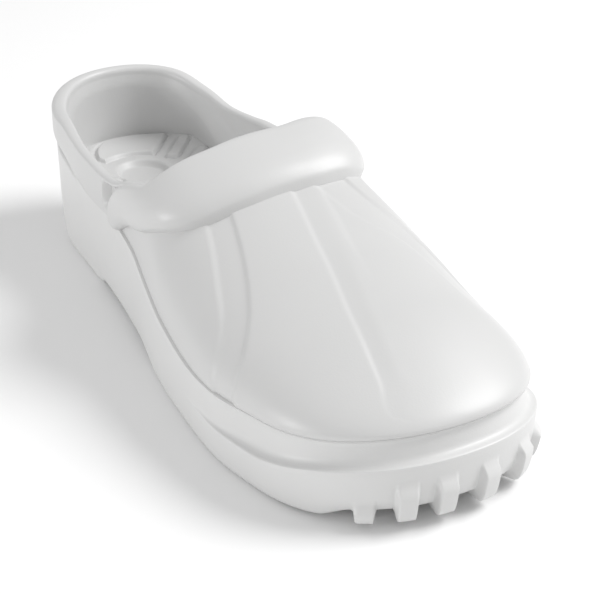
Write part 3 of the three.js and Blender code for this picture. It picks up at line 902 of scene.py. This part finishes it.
def outer_grow(s, turn):
    """Offset of the outer face: relief, end recess, and the lower edge that curls in over the sole."""
    x = along(s)
    toe = toe_share(x)
    above = last_point(s, turn, 0.0)[..., 2] - edge_height(x)
    deep = (EDGE_CURL + (TOE_CURL - EDGE_CURL) * toe) * (1 - smooth_side(x))
    curl = deep * (1 - np.clip(above / (CURL_RUN + (TOE_CURL_RUN - CURL_RUN) * toe), 0, 1)) ** 2
    return vamp_relief(x, turn) - curl - end_recess(x, turn)


def lip_rows(s, turn):
    """Rows round the open edge, from the outer face over the rounded lip to the inner face."""
    wall = -inner_grow(s, turn)
    middle = last_point(s, turn, -wall / 2)
    way = np.roll(middle, -1, axis=0) - np.roll(middle, 1, axis=0)
    through = last_point(s, turn, -wall) - last_point(s, turn, 0)
    out = np.cross(way, through)
    out /= np.linalg.norm(out, axis=1, keepdims=True)
    rows = [last_point(s, turn, outer_grow(s, turn))]
    for at in np.linspace(0, LIP["at"][-1], LIP_ROWS + 1)[1:-1]:
        across, high = column(LIP, "across", at), column(LIP, "high", at)
        rows.append(last_point(s, turn, -wall * across) + out * (wall * high)[:, None])
    rows.append(last_point(s, turn, -wall))
    return rows


def skirt_rows(s, turn):
    """Rows from the lower edge down the skirt inside the sole's cup and up again to the inner face."""
    x = along(s)
    side = np.where(turn < 0.5, s, 1 - s)
    edge, board = edge_height(x), board_height(x)
    inside = -CUP_WALL - SKIRT_WALL
    path = (
        (-EDGE_TUCK, edge - TUCK_DROP),
        (-CUP_WALL, edge - SKIRT_DROP),
        (-CUP_WALL, board),
        (inside, board),
        (inside, edge - SKIRT_DROP),
    )
    rows = [last_point(s, turn, outer_grow(s, turn))]
    for grow, height in path:
        px, py = plan(side, grow)
        rows.append(np.stack([px, py, height], axis=-1))
    rows.append(last_point(s, turn, inner_grow(s, turn)))
    return rows


def upper_piece(origin):
    """Upper: one hollow wall with a rounded rim, open at the collar and underneath."""
    shell = Shell()
    vamp, lateral, medial = upper_places()
    for s, turn in (vamp, lateral, medial):
        shell.cover(shell.sheet(last_point(s, turn, outer_grow(s, turn))))
        shell.cover(shell.sheet(last_point(s, turn, inner_grow(s, turn))), flip=True)
    shell.wrap(shell.sheet(lip_rows(*collar_loop(vamp, lateral, medial))))
    shell.wrap(shell.sheet(skirt_rows(*edge_loop(vamp, lateral, medial))), flip=True)
    return shell.build("clog_upper", origin)


def band_piece(origin):
    """Instep band: a padded roll laid over the upper, its section swept round the instep."""
    shell = Shell()
    turn = np.linspace(BAND_START, 1 - BAND_START, BAND_ROUNDS)
    tail = column(BAND, "tail", turn) * LENGTH
    front = column(BAND, "front", turn) * LENGTH
    ends = end_round(turn * GIRTH, LATERAL_BAND_END) * end_round((1 - turn) * GIRTH, BAND_END)
    proud = column(BAND, "proud", turn) * BAND_PROUD * ends
    outer = []
    inner = []
    square = 1 - ramp(*END_SPREAD, turn)
    for at in np.linspace(0, PAD["at"][-1], BAND_ROWS):
        place = tail + (front - tail) * column(PAD, "across", at)
        station = station_at(place)
        sloped = ramp(-END_RUN_BEHIND, END_RUN, place - tail)
        thick = column(PAD, "thick", at) * (1 - square * (1 - sloped))
        outer.append(last_point(station, turn, BAND_LIFT + proud * thick))
        inner.append(last_point(station, turn, -BAND_SINK))
    outer = shell.sheet(outer)
    inner = shell.sheet(inner)
    shell.cover(outer)
    shell.cover(inner, flip=True)
    for end in (0, -1):
        shell.cover(np.stack([outer[end], inner[end]]))
        shell.cover(np.stack([outer[:, end], inner[:, end]]))
    return shell.build("clog_band", origin)


def pill(distance, lift):
    """Raised pad inside a border and a narrow moat along it: distance is negative inside."""
    moat = np.exp(-(((distance - MOAT["off"]) / MOAT["half"]) ** 2))
    return lift * (1 - ramp(*PAD_EDGE, distance)) - MOAT["deep"] * moat


def crescent_distance(x, y, radius):
    """Distance from the crescent's border, negative inside: part of a ring, cut off at both horns."""
    outer = np.hypot(x - CRESCENT["x"], y - CRESCENT["y"]) - CRESCENT["radius"]
    distance = np.maximum(outer, CRESCENT["inner"] - radius)
    for cut_x, cut_y, across, lengthwise, back in CRESCENT_CUTS:
        distance = np.maximum(distance, (x - cut_x) * across + (y - cut_y) * lengthwise - back)
    return distance


def bar_distance(x, y, bar_x, bar_y, turn):
    """Distance from a bar's border, negative inside: a box with rounded corners."""
    angle = math.radians(turn)
    lengthwise = (x - bar_x) * math.cos(angle) + (y - bar_y) * math.sin(angle)
    across = (y - bar_y) * math.cos(angle) - (x - bar_x) * math.sin(angle)
    a = np.abs(lengthwise) - BAR["long"] / 2 + BAR["corner"]
    b = np.abs(across) - BAR["wide"] / 2 + BAR["corner"]
    outside = np.hypot(np.maximum(a, 0), np.maximum(b, 0)) - BAR["corner"]
    return outside + np.minimum(np.maximum(a, b), 0)


def footbed_relief(x, y):
    """Massage relief of the footbed: a hollow disc, a crescent behind it, and bars along both sides."""
    radius = np.hypot(x - HEEL_DISC["x"], y - HEEL_DISC["y"])
    hollow = 1 - ramp(HEEL_DISC["radius"] - DISC_EDGE, HEEL_DISC["radius"], radius)
    lift = pill(crescent_distance(x, y, radius), CRESCENT["lift"]) - HEEL_DISC["deep"] * hollow
    for bar_x, bar_y, turn in BARS:
        lift = lift + pill(bar_distance(x, y, bar_x, bar_y, turn), BAR["lift"])
    return lift


def footbed_piece(origin):
    """Footbed: dished at the heel, with the moulded relief on its top."""
    shell = Shell()
    edge = -CUP_WALL - SKIRT_WALL
    heel = np.linspace(0, 0.25, FOOTBED_HEEL_STATIONS)
    toe = np.linspace(0.25, 0.5, FOOTBED_TOE_STATIONS)
    side = np.concatenate([heel, toe[1:]])
    lateral_x, lateral_y = plan(side, edge)
    medial_x, medial_y = plan(1 - side, edge)
    share = np.linspace(0, 1, FOOTBED_ROWS)[:, None]
    x = lateral_x + (medial_x - lateral_x) * share
    y = lateral_y + (medial_y - lateral_y) * share
    depth = np.full(x.shape, np.inf)
    border_x = np.concatenate([lateral_x, medial_x[::-1]])
    border_y = np.concatenate([lateral_y, medial_y[::-1]])
    for point_x, point_y in zip(border_x[::2], border_y[::2]):
        depth = np.minimum(depth, np.hypot(x - point_x, y - point_y))
    low = board_height(x) + BED_CLEAR
    back = DISH_BACK + (1 - DISH_BACK) * ramp(*DISH_BACK_RUN, x)
    dish = FOOTBED_DISH * (1 - DISH_DROP * fade(DISH_FADE, x)) * back
    top = low + FOOTBED + dish * column(DISH, "raised", depth / FOOTBED_RUN)
    top = top + footbed_relief(x, y) * ramp(*BED_CALM, depth)
    upper = shell.sheet(np.stack([x, y, top], axis=-1))
    lower = shell.sheet(np.stack([x, y, low], axis=-1)[:: len(share) - 1])
    shell.cover(upper)
    shell.cover(lower, flip=True)
    shell.cover(np.stack([lower[0], upper[0]]))
    shell.cover(np.stack([upper[-1], lower[1]]))
    return shell.build("clog_footbed", origin)


def foam(name, colour, roughness, grain, speckle):
    """Moulded foam: a satin skin with a fine grain, slight mottling and a thin soft coat."""
    material = bpy.data.materials.new(name)
    material.use_nodes = True
    nodes, links = material.node_tree.nodes, material.node_tree.links
    shader = nodes["Principled BSDF"]
    shader.inputs["IOR"].default_value = FOAM_IOR
    shader.inputs["Coat Weight"].default_value = COAT_WEIGHT
    shader.inputs["Coat Roughness"].default_value = COAT_ROUGHNESS
    place = nodes.new("ShaderNodeTexCoord")
    mottle = nodes.new("ShaderNodeTexNoise")
    mottle.inputs["Scale"].default_value = MOTTLE_SCALE
    mottle.inputs["Detail"].default_value = 5.0
    links.new(place.outputs["Object"], mottle.inputs["Vector"])
    tint = nodes.new("ShaderNodeMix")
    tint.data_type = "RGBA"
    tint.inputs[6].default_value = (*[c * (1 - speckle) for c in colour], 1)
    tint.inputs[7].default_value = (*colour, 1)
    links.new(mottle.outputs["Fac"], tint.inputs[0])
    links.new(tint.outputs[2], shader.inputs["Base Color"])
    gloss = nodes.new("ShaderNodeMapRange")
    gloss.inputs["From Min"].default_value = 0.3
    gloss.inputs["From Max"].default_value = 0.7
    gloss.inputs["To Min"].default_value = roughness - GLOSS_SPREAD
    gloss.inputs["To Max"].default_value = roughness + GLOSS_SPREAD
    links.new(mottle.outputs["Fac"], gloss.inputs["Value"])
    links.new(gloss.outputs["Result"], shader.inputs["Roughness"])
    pores = nodes.new("ShaderNodeTexVoronoi")
    pores.inputs["Scale"].default_value = PORE_SCALE
    links.new(place.outputs["Object"], pores.inputs["Vector"])
    skin = nodes.new("ShaderNodeTexNoise")
    skin.inputs["Scale"].default_value = SKIN_SCALE
    skin.inputs["Detail"].default_value = 3.0
    links.new(place.outputs["Object"], skin.inputs["Vector"])
    mixed = nodes.new("ShaderNodeMath")
    mixed.operation = "ADD"
    links.new(pores.outputs["Distance"], mixed.inputs[0])
    links.new(skin.outputs["Fac"], mixed.inputs[1])
    bump = nodes.new("ShaderNodeBump")
    bump.inputs["Strength"].default_value = grain
    bump.inputs["Distance"].default_value = GRAIN_HEIGHT * MM
    links.new(mixed.outputs[0], bump.inputs["Height"])
    links.new(bump.outputs["Normal"], shader.inputs["Normal"])
    return material


def finish_piece(piece, node, material):
    piece.data.materials.clear()
    piece.data.materials.append(material)
    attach(piece, "root")
    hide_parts(node)


def floor():
    """Plain pale floor under the shoe."""
    run = np.linspace(-FLOOR_REACH, FLOOR_REACH, 3)
    shell = bpy.data.meshes.new("studio_floor")
    points = [(x, y, 0.0) for x in run for y in run]
    corners = [3 * i + j for i in range(2) for j in range(2)]
    faces = [(corner, corner + 3, corner + 4, corner + 1) for corner in corners]
    shell.from_pydata(points, [], faces)
    piece = bpy.data.objects.new("studio_floor", shell)
    bpy.context.scene.collection.objects.link(piece)
    material = bpy.data.materials.new("studio_white")
    material.use_nodes = True
    shader = material.node_tree.nodes["Principled BSDF"]
    shader.inputs["Base Color"].default_value = FLOOR_COLOUR
    shader.inputs["Roughness"].default_value = 0.9
    shader.inputs["Specular IOR Level"].default_value = 0.1
    shell.materials.append(material)


def area_light(name, place, aim, size, power):
    data = bpy.data.lights.new(name, "AREA")
    data.shape = "DISK"
    data.size = size
    data.energy = power
    lamp = bpy.data.objects.new(name, data)
    lamp.location = place
    lamp.rotation_euler = (Vector(aim) - Vector(place)).to_track_quat("-Z", "Y").to_euler()
    bpy.context.scene.collection.objects.link(lamp)


def lights():
    """Soft studio light: a bright surround, a large key from above the medial side and a weak fill."""
    world = bpy.data.worlds.new("studio")
    bpy.context.scene.world = world
    world.use_nodes = True
    world.node_tree.nodes["Background"].inputs["Color"].default_value = (1, 1, 1, 1)
    world.node_tree.nodes["Background"].inputs["Strength"].default_value = WORLD_STRENGTH
    area_light("key", KEY["place"], LIGHT_AIM, KEY["size"], KEY["power"])
    area_light("fill", FILL["place"], LIGHT_AIM, FILL["size"], FILL["power"])
    bpy.context.scene.view_settings.view_transform = "Standard"


def camera(origin):
    turn, rise, roll = (math.radians(a) for a in (VIEW_TURN, VIEW_RISE, VIEW_ROLL))
    back = Vector((math.cos(turn) * math.cos(rise), -math.sin(turn) * math.cos(rise), math.sin(rise)))
    aim = Vector((np.array(VIEW_AIM) + origin) * MM)
    right = (-back).cross(Vector((0, 0, 1))).normalized()
    up = right.cross(-back)
    rolled_right = right * math.cos(roll) + up * math.sin(roll)
    rolled_up = up * math.cos(roll) - right * math.sin(roll)
    data = bpy.data.cameras.new("camera")
    data.sensor_width = SENSOR
    data.lens = FOCAL_PIXELS / FRAME_PIXELS * SENSOR
    data.clip_start = 0.01
    eye = bpy.data.objects.new("camera", data)
    turned = Matrix((rolled_right, rolled_up, back)).transposed().to_4x4()
    eye.matrix_world = Matrix.Translation(aim + back * (VIEW_DISTANCE * MM)) @ turned
    bpy.context.scene.collection.objects.link(eye)
    bpy.context.scene.camera = eye


def main():
    sole_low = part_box("sole")[0]
    lateral_side = plan(np.linspace(0.2, 0.45, 2001), 0.0)
    outline_low = float(lateral_side[1].min())
    origin = np.array([sole_low.x / MM, sole_low.y / MM - outline_low, 0.0])
    camera(origin)
    lights()
    floor()
    upper_foam = foam("foam_upper", WHITE, roughness=0.42, grain=0.18, speckle=0.025)
    # The sole gets a lighter copy of the same foam colour: painted light on its sides, not a different
    # foam
    sole_foam_painted_light = foam("foam_sole", PAINTED_LIGHT_PALE, roughness=0.46, grain=0.22, speckle=0.03)
    bed_foam = foam("foam_footbed", WHITE, roughness=0.54, grain=0.3, speckle=0.04)
    finish_piece(sole_piece(origin), "sole", sole_foam_painted_light)
    finish_piece(upper_piece(origin), "upper", upper_foam)
    finish_piece(band_piece(origin), "instep_band", upper_foam)
    finish_piece(footbed_piece(origin), "insole", bed_foam)


main()
